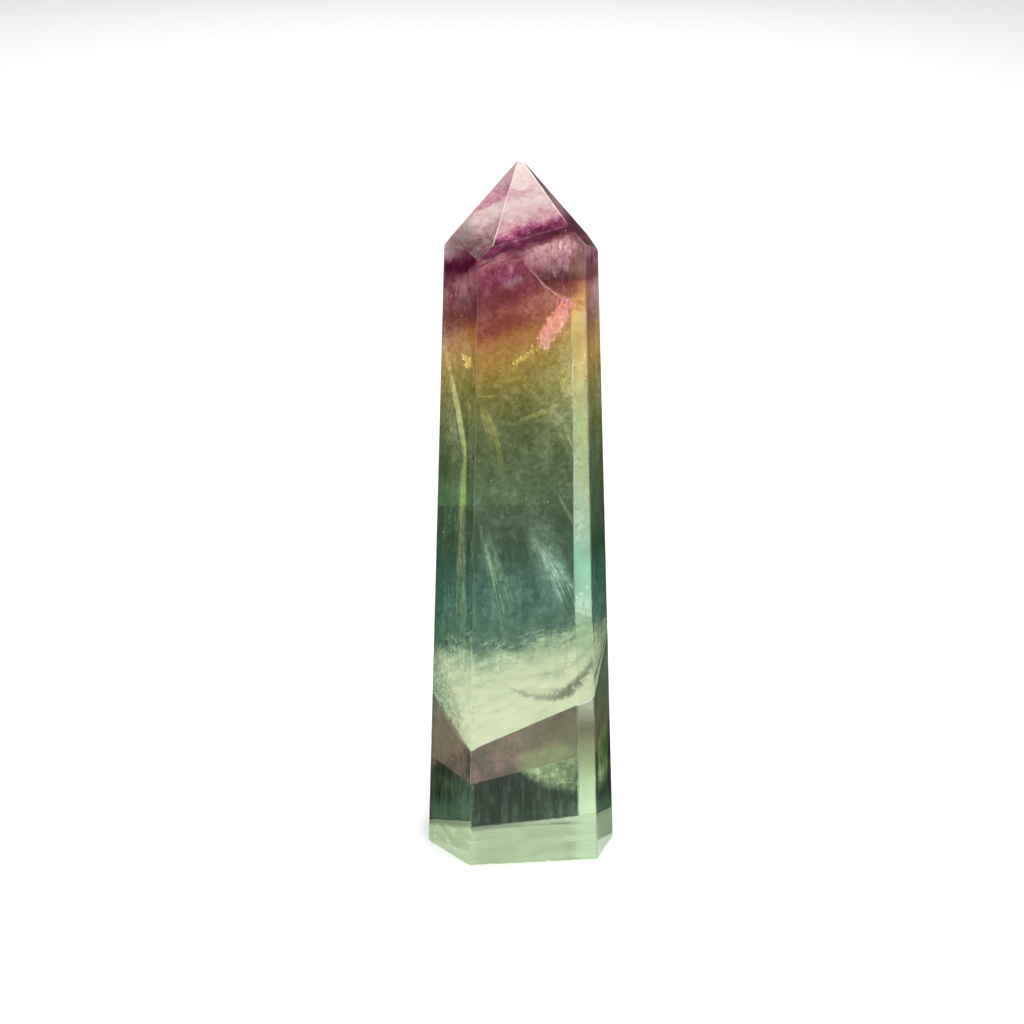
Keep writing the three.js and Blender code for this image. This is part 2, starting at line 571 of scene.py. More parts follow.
def stoneMarks(points):
    # milk: the listed value of the facet that a point lies on, or the sides' own; edge: how
    # near its second flat is, from 0 at the edge width to 1 on the edge itself, and less where
    # a side meets a facet
    away = points @ flats[:, :3].T - flats[:, 3]
    order = np.argsort(away, axis=-1)
    nearest, second = order[..., -1], order[..., -2]
    gap = np.take_along_axis(away, order, axis=-1)[..., -2]
    bearings = np.degrees(np.arctan2(flats[:, 1], flats[:, 0]))
    leaning = flats[:, 2] > stone["sideSlope"]
    values = np.full(len(flats), stone["sideMilk"])
    for bearing, value in tipCloud:
        values[np.argmin(np.where(leaning, abs(bearings - bearing), np.inf))] = value
    # wear and a painted highlight, weaker where a side meets a facet
    wear = np.where(leaning[nearest] == leaning[second], 1.0, stone["shoulderWear"])
    return {"milk": values[nearest], "edge": np.clip(1 + gap / stone["edgeWidth"], 0, 1) * wear}


def makeStone(material):
    points = stoneGrid(flats, stone)
    points = settle(points, flats, chipPlaces(flats, stone), stone)
    points = polishWaves(points, stone)
    lowest = np.array(cadLow) / mm + stone["spare"]
    highest = np.array(cadHigh) / mm - stone["spare"]
    points = np.clip(points, lowest, highest)
    faces = gridFaces(*points.shape[:2], closed=True)
    piece = makePiece("clearStone", points * mm, faces, material, marks=stoneMarks(points))
    shape = bmesh.new()
    shape.from_mesh(piece.data)
    bmesh.ops.remove_doubles(shape, verts=shape.verts, dist=stone["mergeWithin"])
    bmesh.ops.dissolve_degenerate(shape, edges=shape.edges, dist=stone["shortest"])
    shape.to_mesh(piece.data)
    shape.free()
    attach(piece, "root")
    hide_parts("tower")
    return piece


growthBands = [
    # millimetres up the growth axis, colour let through
    (0.0, tone(36, 54, 38)),
    (10.4, tone(32, 46, 33)),
    (11.4, tone(108, 104, 80)),
    (15.0, tone(114, 108, 86)),
    (18.0, tone(78, 110, 90)),
    (29.0, tone(76, 110, 90)),
    (34.0, tone(60, 96, 80)),
    (40.0, tone(52, 74, 54)),
    (47.0, tone(70, 88, 60)),
    (55.4, tone(80, 92, 52)),
    (61.0, tone(102, 96, 42)),
    (64.2, tone(140, 116, 52)),
    (66.8, tone(170, 128, 68)),
    (69.4, tone(156, 98, 68)),
    (71.0, tone(104, 44, 44)),
    (72.6, tone(100, 40, 46)),
    (74.0, tone(128, 74, 80)),
    (75.6, tone(160, 96, 102)),
    (76.9, tone(142, 84, 96)),
    (77.5, tone(84, 14, 48)),
    (79.2, tone(96, 20, 58)),
    (80.2, tone(150, 84, 110)),
    (81.4, tone(184, 148, 152)),
    (84.0, tone(205, 176, 176)),
    (86.8, tone(190, 132, 154)),
    (88.4, tone(205, 178, 180)),
]

milkBands = [
    # millimetres up the growth axis, colour of the milky stone
    (77.0, tone(150, 60, 100)),
    (79.0, tone(132, 40, 84)),
    (79.9, tone(178, 98, 130)),
    (80.6, tone(208, 158, 166)),
    (82.2, tone(222, 190, 190)),
    (84.2, tone(232, 206, 203)),
    (86.4, tone(240, 214, 211)),
    (89.0, tone(247, 225, 220)),
]

columnBands = [
    # millimetres up, colour of the pale column along the right edge of the front flat, a painted reflection
    # of the light
    (6.0, tone(228, 255, 210)),
    (10.5, tone(190, 224, 168)),
    (14.0, tone(156, 170, 122)),
    (17.5, tone(132, 130, 92)),
    (21.0, tone(196, 214, 168)),
    (30.0, tone(172, 208, 160)),
    (40.0, tone(156, 214, 178)),
    (50.0, tone(194, 210, 156)),
    (58.0, tone(186, 198, 140)),
    (66.0, tone(222, 190, 120)),
]

columnTints = [
    # lowest and highest mm, strength, colour that darkens what shows through the painted reflection column
    (12.5, 18.0, 0.9, (0.16, 0.24, 0.1)),
    (36.0, 41.0, 0.95, (0.42, 0.76, 0.56)),
    (56.0, 63.0, 0.9, (0.46, 0.45, 0.24)),
    (64.0, 69.0, 0.9, (0.8, 0.5, 0.24)),
]

growthSpan = (-10.0, 100.0)     # mm that the ramp of the growth bands covers
milkSpan = (76.0, 90.0)
columnSpan = (0.0, 90.0)

stoneLook = {
    "refraction": 1.434,        # fluorite's
    "sheen": (0.5, 0.5, 0.5, 1),
    "polish": 0.03,             # roughness of the clear stone
    "milkPolish": 0.12,         # and of the milky stone
    "milkShade": 0.45,          # how much light the milk scatters, and how much it glows
    "milkGlow": 0.4,
    "frontFoot": 9.8,           # mm from the axis to the front flat's foot
    "levelLean": 0.27,          # lean of a line that looks level from the camera, mm per mm
    "footLean": 0.31,           # how far the lowest zone climbs across the stone, mm per mm
    "lowLean": 0.19,            # how far the green zones fall towards the back
    "highLean": (0.32, 0.45),   # the same for the purple zones, across and back
    "swell": 2.2,               # mm of slow waviness in the zones
    "ragged": 4.5,              # mm of raggedness at the purple zones
    "leftDrop": 2.6,            # mm that the purple zones rise on the left flat
    "backShare": (0.75, 0.4, -0.6),  # colour held by the back more than the front: foot, middle, top
    "ledgeAt": (47.75, 48.05),  # mm, the sharp lower edge of the pale green ledge
    "capAt": 5.5,               # mm, the upper edge of the pale cap at the foot, painted light of the lit base
    "columnFrom": 5.45,         # mm right of the axis where the painted reflection column begins
}

stoneTones = {
    # each colour by the place it is used at
    "ledge": tone(150, 200, 138),
    "wine": tone(96, 16, 34),
    "pallid": tone(190, 148, 150),
    # the brown zone under the cleavage is painted shade: its clear colours, darker on the right next to the
    # cleavage, darkest at the front-left corner, and where it shows through the right flat
    "brownClear": (tone(126, 120, 98), tone(170, 154, 136)),
    "brownRight": tone(84, 84, 62),
    "corner": tone(44, 36, 30),
    "brownFlank": tone(66, 60, 46),
    "window": tone(240, 238, 228),
    "skirt": tone(220, 236, 208),
    "arcPale": tone(226, 188, 180),
    "arcLine": tone(226, 188, 170),
    "leftTip": tone(166, 126, 128),
    "rosy": tone(186, 88, 132),
    "murky": tone(92, 72, 70),
    # painted shade on the point's facets
    "outer": tone(96, 74, 72),
    "dusky": (0.62, 0.5, 0.56),
    "rightTipLow": tone(84, 34, 54),
    "rightTipHigh": tone(112, 72, 96),
    # the painted shade under the cleavage, in the milky stone
    "brownMilk": (tone(128, 122, 104), tone(166, 138, 124)),
    "brownMilkRight": tone(138, 150, 112),
    "smoke": tone(92, 130, 100),
    "wornEdge": (tone(220, 204, 196), tone(255, 242, 238)),
    "spark": tone(250, 244, 232),
    # the cap at the foot is painted light: the lit base as it shows through the front flats
    "cap": (tone(120, 146, 112), tone(206, 222, 186)),
    "capLip": (tone(132, 154, 120), tone(198, 228, 184)),
    "capFlank": tone(156, 180, 142),
    "base": tone(215, 228, 196),
    "baseGlow": (tone(186, 206, 166), tone(208, 226, 192)),
}

cleavage = {
    "normal": (-0.31, -0.501, 0.808),
    "reach": 19.55,             # mm from the origin
    "rows": 120,
    "columns": 160,
    "depth": 17.5,              # mm that it reaches behind the front flat
    "inset": 0.12,              # mm between the sheet's rim and the flats
    "ripple": 0.05,             # mm of the small steps across the plane
    "dip": 1.5,                 # mm that the left end dips, where, and how wide the dip is
    "dipAt": -9.4,
    "dipWidth": 1.4,
    "crackAt": (3.9, -6.4),     # where the dark crack comes nearest the front, x and y
    # the split face's pale stripes are a painted reflection of the light above it
    "stripes": (tone(190, 206, 170), tone(216, 225, 192)),
    "shadow": tone(146, 182, 150),
    "glint": tone(242, 244, 200),
    "leftShade": tone(120, 150, 122),
    "echo": tone(120, 132, 100),
    "crack": tone(78, 86, 66),
    "glow": 0.7,
}

# the lower end of the brown zone under the cleavage, which is painted shade
brownFloor = {"normal": (-0.215, -0.168, 0.962), "reach": 13.7}


def planeHeight(axes, plane):
    # millimetres above the plane, measured along its normal: n . p - reach
    x, y, z = axes
    a, b, c = plane["normal"]
    return x * a + y * b + z * c - plane["reach"]


def sidePlane(bearing):
    # the side of the stone that faces the bearing, as a plane
    sides = flats[abs(flats[:, 2]) < stone["sideSlope"]]
    bearings = np.degrees(np.arctan2(sides[:, 1], sides[:, 0]))
    side = sides[np.argmin(abs(bearings - bearing))].tolist()
    return {"normal": side[:3], "reach": side[3]}


def stonePlaces(finish):
    # what the colours and the milk go by: heights in mm, and places as shares from 0 to 1
    at = SimpleNamespace(own=finish.place())
    at.axes = finish.axes(at.own)
    x, y, z = at.axes
    at.milk = finish.node("ShaderNodeAttribute", {"attribute_name": "milk"}, out=2)
    at.edge = finish.node("ShaderNodeAttribute", {"attribute_name": "edge"}, out=2)
    at.front = 1 - y.step(-1, 2)
    at.leftSide = 1 - x.step(-8.6, -6.6)
    at.rightFlat = planeHeight(at.axes, sidePlane(-22.1)).step(-0.16, -0.02)
    at.leftFlat = planeHeight(at.axes, sidePlane(-159.5)).step(-0.22, -0.12)
    at.leftTip = at.milk.bump(0.8, 0.08)
    at.rightTip = at.milk.bump(0.7, 0.05)
    # uneven patterns, the coarsest first
    coarse = finish.noise(at.own, 0.11, 3) - 0.5
    at.rough = finish.noise(at.own, 0.5, 8, 0.7) - 0.5
    at.grain = finish.noise(at.own, 1.5, 4, 0.8) - 0.5
    at.cloud = finish.noise(finish.stretched(at.own, (0.3, 0, 0.4), (1, 1, 0.6)), 0.4, 8, 0.72)
    # level is the height of a line that looks level from the camera; the others follow the
    # growth zones, which lean one way low in the stone and another way high in it
    at.level = z + (y + stoneLook["frontFoot"]) * stoneLook["levelLean"]
    at.aboveCap = at.level - x * 0.06 - at.leftFlat * 0.85 + at.grain * 0.4 - stoneLook["capAt"]
    foot = 1 - z.step(14, 24)
    lowHeight = z + y * stoneLook["lowLean"] - x * foot * stoneLook["footLean"]
    across, back = stoneLook["highLean"]
    highHeight = z - x * across + y * back + at.rough * z.step(66, 74) * stoneLook["ragged"]
    at.highHeight = highHeight - at.leftSide * (1 - z.step(72, 78)) * stoneLook["leftDrop"]
    at.height = lowHeight + (at.highHeight - lowHeight) * z.step(48, 70)
    at.height = at.height + coarse * z.step(14, 24) * stoneLook["swell"]
    # upright fibres in the teal zone and above the cap, and flames round the purple zone
    fibres = finish.noise(finish.stretched(at.own, (0, -0.2, 0), (1, 1, 0.09)), 1.7, 4, 0.65) - 0.5
    fibrous = z.step(18, 24) * (1 - z.step(40, 52)) * (0.45 + at.leftSide * 0.55)
    at.fibres = fibres * (fibrous + (1 - z.step(11, 13)) * z.step(4.6, 5.4))
    flames = finish.noise(finish.stretched(at.own, (0, 0.5, 0), (1, 1, 0.6)), 0.9, 5, 0.7) - 0.5
    at.flames = flames * at.highHeight.bump(78.8, 3.2) * 2.6
    # the brown zone, painted shade under the cleavage, lies between the two planes, the smoke between it
    # and the cap of painted light
    at.aboveSplit = planeHeight(at.axes, cleavage)
    aboveBrown = planeHeight(at.axes, brownFloor).step(-0.06, 0.06)
    at.brown = (1 - at.aboveSplit.step(-0.15, 0)) * aboveBrown * at.front
    at.smoke = (1 - z.step(10, 12)) * at.aboveCap.step(0, 0.4) * at.front
    # the pale column along the right edge of the front flat is a painted reflection of the light
    columnFrom = (1 - z.step(20, 40)) * 0.7 + stoneLook["columnFrom"]
    at.column = (x - columnFrom).step(-0.1, 0.1) * at.front
    return at


def clearGamma(finish, at):
    # a power on the clear stone's colours: over 1 darkens them, towards the back and in the
    # mottled places, and under 1 lightens them
    x, y, z = at.axes
    low, middle, high = stoneLook["backShare"]
    backShare = low + z.step(20, 36) * (middle - low) + z.step(62, 76) * (high - middle)
    golden = x.step(-1, 8) * z.step(50, 60) * (1 - z.step(72, 77))
    lighter = golden * 0.4 - at.leftSide * z.step(72, 74) * (1 - z.step(80, 82)) * 0.6
    lighter = lighter + at.leftSide * (0.16 + z.step(50, 56) * (1 - z.step(68, 71)) * 0.5)
    lighter = lighter + at.rightFlat * (0.15 + z.step(50, 60) * (1 - z.step(74.5, 76)) * 0.3)
    lighter = lighter + x.bump(-5, 2.5) * z.bump(58, 6) * at.front * 0.2
    streaks = finish.noise(finish.stretched(at.own, (0, 0.1, 0), (1, 1, 0.2)), 0.5, 6, 0.62) - 0.5
    mottle = streaks * 0.8 + at.rough * 0.9 + at.grain * 1.5 + at.fibres * 1.4
    mottle = mottle * at.aboveCap.step(0, 1.5) + at.flames
    return 1 + y / 9.9 * backShare - lighter - mottle


def clearColour(finish, at):
    # the growth bands, then each place that differs from them, from the ledge to the column
    x, y, z = at.axes
    tones = stoneTones
    colour = finish.ramp(growthBands, growthSpan, at.height)
    colour = finish.node("ShaderNodeGamma", None, {0: colour, 1: clearGamma(finish, at)})
    ledge = at.level.step(*stoneLook["ledgeAt"]) * (1 - (at.level + at.rough * 5).step(49.5, 52.5))
    ledge = ledge * at.front * (1 - (x + at.rough * 8).step(0, 3)) * (0.34 + at.leftSide * 0.35)
    colour = finish.blend(ledge, colour, rgba(tones["ledge"]))
    colour = finish.blend(at.rightFlat * z.bump(77, 2.2) * 0.7, colour, rgba(tones["wine"]))
    pallid = at.leftSide * z.bump(74, 3) * 0.6 + x.bump(-2.6, 2.4) * z.bump(76.6, 1.6) * at.front * 0.5
    colour = finish.blend(pallid * at.cloud.step(0.42, 0.6), colour, rgba(tones["pallid"]))
    # painted shade under the cleavage, brown and mottled
    brown = finish.between(at.cloud.step(0.35, 0.65), tones["brownClear"])
    colour = finish.blend(at.brown * 0.9, colour, brown)
    # painted shade: darker on the right just under the cleavage
    brownRight = at.brown * at.aboveSplit.step(-3.2, -0.3) * x.step(-3, 3) * 0.5
    colour = finish.blend(brownRight, colour, rgba(tones["brownRight"]))
    # painted shade: the brown zone darkest at the front-left corner
    corner = at.brown * (1 - x.step(-6.0, -3.4)) * (1 - y.step(-9.2, -8.8))
    colour = finish.blend(corner * (0.75 + at.rough), colour, rgba(tones["corner"]))
    # painted shade: the brown zone as it shows through the right flat
    colour = finish.blend(at.rightFlat * z.bump(20.5, 3.5) * 0.6, colour, rgba(tones["brownFlank"]))
    # a clear window in front of the cleavage
    windowTop = (z - x * 0.12 + at.rough * 8).step(25, 29)
    window = at.aboveSplit.step(-0.1, 0.1) * (1 - windowTop) * at.front * (1 - x.step(7.4, 8.4) * 0.7)
    colour = finish.blend(window * 0.85, colour, rgba(tones["window"]))
    skirt = (1 - at.level.step(4.5, 6)) * at.leftSide
    colour = finish.blend(skirt * 0.6, colour, rgba(tones["skirt"]))
    # a pale patch under the point, above an arc that is thinly outlined
    aboveArc = z + x * 1.2 - x * x * 0.065 - 77.6 + at.rough * 1.5
    pale = aboveArc.step(0, 0.5) * (1 - at.highHeight.step(76.4, 77.2)) * x.step(-2, 1) * at.front
    colour = finish.blend(pale * z.step(76.0, 80.0) * 0.5, colour, rgba(tones["arcPale"]))
    outline = aboveArc.bump(0.05, 0.18) * x.step(-2, 1) * at.front
    colour = finish.blend(outline * 0.35, colour, rgba(tones["arcLine"]))
    for bottom, top, strength, tint in columnTints:
        part = at.column * z.step(bottom - 2, bottom) * (1 - z.step(top, top + 2)) * strength
        colour = finish.blend(part, colour, rgba(tint), "MULTIPLY")
    return colour


def tipColour(finish, at):
    # the milky bands under the point's facets, tinted facet by facet
    x, y, z = at.axes
    tones = stoneTones
    colour = finish.ramp(milkBands, milkSpan, at.highHeight)
    colour = finish.blend(at.leftTip * (1 - at.highHeight.step(80.2, 82)), colour, rgba(tones["leftTip"]))
    rosy = (at.highHeight + at.milk * 2.6 - 88).bump(0, 1.3) * (1.6 - at.milk) * (1 - x.step(0, 3) * 0.7)
    rosy = rosy + at.leftTip * (at.highHeight - 87).bump(0, 1.4) * 0.5
    colour = finish.blend(rosy.least(1) * 0.7, colour, rgba(tones["rosy"]))
    veins = finish.noise(finish.stretched(at.own, (0.2, 0.3, 0.5), (1, 1, 2.2)), 0.7, 7, 0.7) - 0.5
    gamma = 1.1 - at.grain * 1.6 - veins * 2.6 - at.flames
    colour = finish.node("ShaderNodeGamma", None, {0: colour, 1: gamma})
    murky = (1 - at.highHeight.step(81, 84.5)) * at.leftTip * at.cloud.step(0.3, 0.7)
    colour = finish.blend(murky * 0.6, colour, rgba(tones["murky"]))
    # painted shade at the front-left edge of the point, below 84 mm
    outer = (1 - x.step(-7.4, -5.6)) * (1 - z.step(81.5, 84.5)) * (1 - y.step(-1, 1))
    colour = finish.blend(outer * 0.6, colour, rgba(tones["outer"]))
    # painted shade: the left facet darker towards the apex, the right facet above 80 mm
    dusky = at.leftTip * z.step(85.5, 88) + at.rightTip * z.step(79.5, 81)
    colour = finish.blend(dusky, colour, rgba(tones["dusky"]), "MULTIPLY")
    colour = finish.blend(at.rightTip * z.bump(82.4, 1.8) * 0.9, colour, rgba(tones["rightTipLow"]))
    return finish.blend(at.rightTip * z.step(84, 87) * 0.7, colour, rgba(tones["rightTipHigh"]))


def capColour(finish, at):
    # painted light: the lit base as it shows through the front, in level layers, with a brighter lip along
    # the cap's upper edge
    x = at.axes[0]
    colour = finish.between(at.layers.step(0.35, 0.65), stoneTones["cap"])
    lip = finish.between(x.step(-6, 6), stoneTones["capLip"])
    colour = finish.blend(at.lip.most(x.step(4, 7)), colour, lip)
    return finish.blend(at.rightFlat, colour, rgba(stoneTones["capFlank"]))


def milkColour(finish, at):
    # the point's milk, then what lies over it: brown zone of painted shade, smoke, column of painted
    # reflection, worn edges with painted highlight, painted glints, cap of painted light
    x, _, z = at.axes
    tones = stoneTones
    # the painted shade under the cleavage, in the milky stone
    brown = finish.between(at.cloud.step(0.35, 0.65), tones["brownMilk"])
    brown = finish.blend(x.step(-4, 5), brown, rgba(tones["brownMilkRight"]))
    colour = finish.blend(at.brown, tipColour(finish, at), brown)
    colour = finish.blend(at.smoke * (1 - at.brown), colour, rgba(tones["smoke"]))
    # the painted reflection in the pale column
    colour = finish.blend(at.glaze, colour, finish.ramp(columnBands, columnSpan, z))
    # worn edges with a painted highlight, whiter near the point
    wornEdge = finish.between(z.step(79, 82), tones["wornEdge"])
    colour = finish.blend(at.edge.step(0.3, 0.9), colour, wornEdge)
    colour = finish.blend(at.sparks, colour, rgba(tones["spark"]))
    return finish.blend(at.cap, colour, capColour(finish, at))


def milkShare(at):
    # how much of the surface is milky: the strongest of all its causes
    x, _, z = at.axes
    lowered = at.highHeight + at.leftTip * 4 + at.rightTip * z.step(78, 79) * 2.5
    patches = (at.cloud * 0.6 + at.milk * 0.9).step(0.45, 1.0)
    cloudy = (lowered.step(77.2, 80.8) * z.step(76, 80) * patches).least(0.94)
    flecks = at.highHeight.bump(79, 2.0) * at.front * at.cloud.step(0.56, 0.66) * 0.7
    # milky along the edges, for wear and a painted highlight
    worn = at.edge.step(0.35, 0.95) * 0.55 * at.cloud.step(0.2, 0.5) * z.step(30, 50)
    # milky haze that carries the painted shade under the cleavage
    dust = at.brown * (0.42 + at.rough * 1.2 + at.grain * 0.8) * (1 - x.step(-3, 4) * 0.5)
    smoky = 0.02 + at.rough * 0.5 + at.fibres * 1.4 + at.grain * 0.4
    smoky = smoky + (1 - at.level.step(7, 10.5)) * at.leftSide * 0.5
    smoky = smoky + (1 - at.level.step(6.2, 9)) * (0.1 + x.step(-3, 7) * 0.2)
    smoky = smoky + (1 - at.level.step(6.5, 10)) * at.rightFlat * 0.3
    # how milky the painted reflection column is, by height
    glaze = 0.42 - z.bump(24, 4) * 0.25 + (1 - z.step(14, 20)) * 0.3
    glaze = at.glaze * at.aboveCap.step(0, 0.4) * glaze
    # how milky the painted light of the cap is
    cap = 0.3 + at.leftSide * 0.2 + (at.layers - 0.5) * 0.8 + at.lip * 0.6 + x.step(3.5, 6.5) * 0.5
    cap = (at.cap * cap).least(0.92)
    share = at.base
    for cause in (cloudy, flecks, worn, dust, smoky * at.smoke, glaze, at.sparks * 0.8, cap):
        share = share.most(cause)
    return share


def stoneFinish():
    # clear polished stone, mixed with milky stone by the milk share
    finish = Finish("fluorite")
    at = stonePlaces(finish)
    z = at.axes[2]
    at.base = 1 - z.step(0.0, 0.12)
    # where the painted reflection of the pale column lies
    at.glaze = at.column * (1 - at.rightFlat) * (1 - z.step(66, 71))
    # the cap: painted light of the lit base, on the front flats under the cap's edge
    at.cap = (1 - at.aboveCap.step(0, 0.3)) * at.front
    at.lip = at.aboveCap.bump(-0.2, 0.8)
    at.layers = finish.noise(finish.stretched(at.own, (0, 0, 0), (0.3, 0.6, 1.8)), 0.6, 7, 0.7)
    # painted glints: tiny bright specks in the clouds
    specks = finish.node("ShaderNodeTexVoronoi", None, {"Vector": at.own, "Scale": 0.75})
    at.sparks = (1 - specks.step(0.035, 0.06)) * at.cloud.step(0.4, 0.55)
    clear = finish.node("ShaderNodeBsdfPrincipled", None, {
        "Base Color": clearColour(finish, at),
        "Roughness": stoneLook["polish"],
        "IOR": stoneLook["refraction"],
        "Transmission Weight": 1.0,
        "Specular Tint": stoneLook["sheen"],
    })
    milk = milkColour(finish, at)
    shade = finish.blend(1.0, milk, rgba([stoneLook["milkShade"]] * 3), "MULTIPLY")
    glow = finish.blend(1.0, milk, rgba([stoneLook["milkGlow"]] * 3), "MULTIPLY")
    streaks = finish.noise(finish.stretched(at.own, (0, 0, 0), (0.16, 1, 1)), 1.1, 7, 0.7)
    baseGlow = finish.between(streaks.step(0.3, 0.7), stoneTones["baseGlow"])
    milky = finish.node("ShaderNodeBsdfPrincipled", None, {
        "Base Color": finish.blend(at.base, shade, rgba(stoneTones["base"])),
        "Roughness": stoneLook["milkPolish"],
        "IOR": stoneLook["refraction"],
        "Emission Color": finish.blend(at.base, glow, baseGlow),
        "Emission Strength": 1.0,
    })
    mixed = finish.node("ShaderNodeMixShader", None, {0: milkShare(at), 1: clear, 2: milky})
    return finish.finish(mixed)


makeStone(stoneFinish())
print("stone made")


def acrossStone(plane):
    # the part of the plane n . p = reach inside the stone: row t is the line that stays t mm
    # behind the front flat, and runs from the first to the last flat that it meets; flats
    # nearly along the line don't count
    level, far = 0.01, 99
    normal = np.array(plane["normal"])
    front = flats[np.argmin(flats[:, 1])]
    along = np.cross(front[:3], normal)
    along = along / np.linalg.norm(along) * np.sign(along[0])
    behind = np.linspace(0, plane["depth"], plane["rows"])
    reach = np.full_like(behind, plane["reach"])
    known = np.stack([reach, front[3] - plane["inset"] - behind, behind * 0])
    starts = np.linalg.solve(np.array([normal, front[:3], along]), known).T
    slope = flats[:, :3] @ along
    steep = abs(slope) > level
    ends = (flats[:, 3] - plane["inset"] - starts @ flats[:, :3].T) / np.where(steep, slope, level)
    first = np.where(steep & (slope < 0), ends, -far).max(1)
    last = np.where(steep & (slope > 0), ends, far).min(1)
    share = np.linspace(0, 1, plane["columns"])
    run = first[:, None] + (last - first)[:, None] * share
    return starts[:, None] + run[..., None] * along


def cleavageSheet():
    # the plane, stepped along its normal by sums of steepened sines like split fluorite, with
    # a bell-shaped dip at its left end
    points = acrossStone(cleavage)
    x, y = points[..., 0], points[..., 1]
    run = y * 1.3 + x * 0.35 + np.sin(x * 0.7 + y * 0.3) * 0.8
    steps = np.tanh(4 * np.sin(run * 1.3)) + 0.5 * np.tanh(5 * np.sin(run * 3.1 + 1.3))
    steps = steps + np.sin(x * 0.5 - y * 0.4)
    fade = np.clip((y + 9.2) / 3, 0, 1) * np.clip((11.2 - abs(x)) / 2, 0, 1)
    dip = cleavage["dip"] * np.exp(-((x - cleavage["dipAt"]) / cleavage["dipWidth"]) ** 2)
    lift = cleavage["ripple"] * steps * fade - dip
    return points + lift[..., None] * np.array(cleavage["normal"])


def cleavageFinish():
    # a striped split face, pale and glowing with a painted reflection of the light above it, with a
    # ragged rim, torn at its left and crossed by a dark crack along a parabola, with a fainter one behind
    # it
    finish = Finish("splitFace")
    place = finish.place()
    x, y, _ = finish.axes(place)
    ragged = finish.noise(place, 0.22, 8, 0.66)
    fine = finish.noise(place, 1.3, 7, 0.72)
    stripes = finish.noise(finish.stretched(place, (0, 0, 0.35), (0.35, 1.0, 0.8)), 0.8, 9, 0.72)
    rim = y + (ragged - 0.5) * 7 - (stripes - 0.5) * 6 + x * 0.25 + 1.8
    torn = (-6.6 - x).step(-1.2, 3.0) * fine.step(0.42, 0.6) * y.step(-7.5, -4)
    crackX, crackY = cleavage["crackAt"]
    bend = (x - crackX) * (x - crackX)
    behind = y - crackY
    crack = behind - bend * 0.12 + (fine - 0.5) * 3.4 + (ragged - 0.5) * 3
    crack = (1 - crack.size().step(0.12, 0.9 + x * 0.08)) * x.step(-3.5, 0) * fine.step(0.3, 0.5)
    echo = (behind - 3.4 - bend * 0.08 + (fine - 0.5) * 4).bump(0, 0.8) * x.step(0, 3)
    shadow = y.step(-5, 4) * (1 - x.step(-5, 4) * 0.9) * (1 - stripes.step(0.42, 0.6))
    leftShade = (1 - x.step(-10.5, -6.5)) * (1 - fine.step(0.4, 0.6))
    marks = [
        # colour, share of the surface
        ("shadow", shadow * 0.4),
        ("glint", y.step(-5, 4) * fine.step(0.56, 0.66) * 0.7),
        ("leftShade", leftShade * 0.7),
        ("echo", echo * 0.35),
        ("crack", crack * (0.5 + x.step(1, 6) * 0.4)),
    ]
    colour = finish.between(stripes.step(0.3, 0.7), cleavage["stripes"])
    for mark, share in marks:
        colour = finish.blend(share, colour, rgba(cleavage[mark]))
    glow = {0: colour, "Scale": cleavage["glow"]}
    relief = {"Strength": 0.3, "Distance": 0.2 * mm, "Height": stripes + fine * 0.8}
    shader = finish.node("ShaderNodeBsdfPrincipled", None, {
        "Base Color": colour,
        "Roughness": 0.4,
        "Normal": finish.node("ShaderNodeBump", None, relief),
        "Emission Color": finish.node("ShaderNodeVectorMath", {"operation": "SCALE"}, glow),
        "Emission Strength": 1.0,
        "Alpha": (1 - rim.step(4.2, 7.0)) * (1 - torn * 0.85),
    })
    return finish.finish(shader)


makeFlaw("cleavageSheet", cleavageSheet(), cleavageFinish())
print("cleavage made")


def smoothPath(points, count):
    # a curve through the points whose slope at each is half the difference of its neighbours
    points = np.array(points, float)
    padded = np.vstack([2 * points[0] - points[1], points, 2 * points[-1] - points[-2]])
    along = np.linspace(0, len(points) - 1, count)
    piece = np.minimum(along.astype(int), len(points) - 2)
    t = (along - piece)[:, None]
    a, b, c, d = (padded[piece + k] for k in range(4))
    curve = 2 * b + (c - a) * t + (2 * a - 5 * b + 4 * c - d) * t ** 2
    return (curve + (3 * b - a - 3 * c + d) * t ** 3) / 2


def ruledSheet(first, second, look):
    # u runs along both curves and v from the first to the second; low sines push the sheet
    # in and out, and the spread is (u, v)
    u = np.linspace(0, 1, look["rows"])[:, None]
    v = np.linspace(0, 1, look["columns"])[None, :]
    start = smoothPath(first, look["rows"])[:, None]
    end = smoothPath(second, look["rows"])[:, None]
    points = start + (end - start) * v[..., None]
    push = np.sin(u * 9 + v * 3) * 0.6 + np.sin(u * 23 - v * 5) * 0.4
    points[..., 1] += push * look["ripple"] * np.sin(np.pi * v)
    return points, np.stack(np.broadcast_arrays(u, v), axis=-1)


wispLook = {"rows": 90, "columns": 14, "ripple": 0.1}

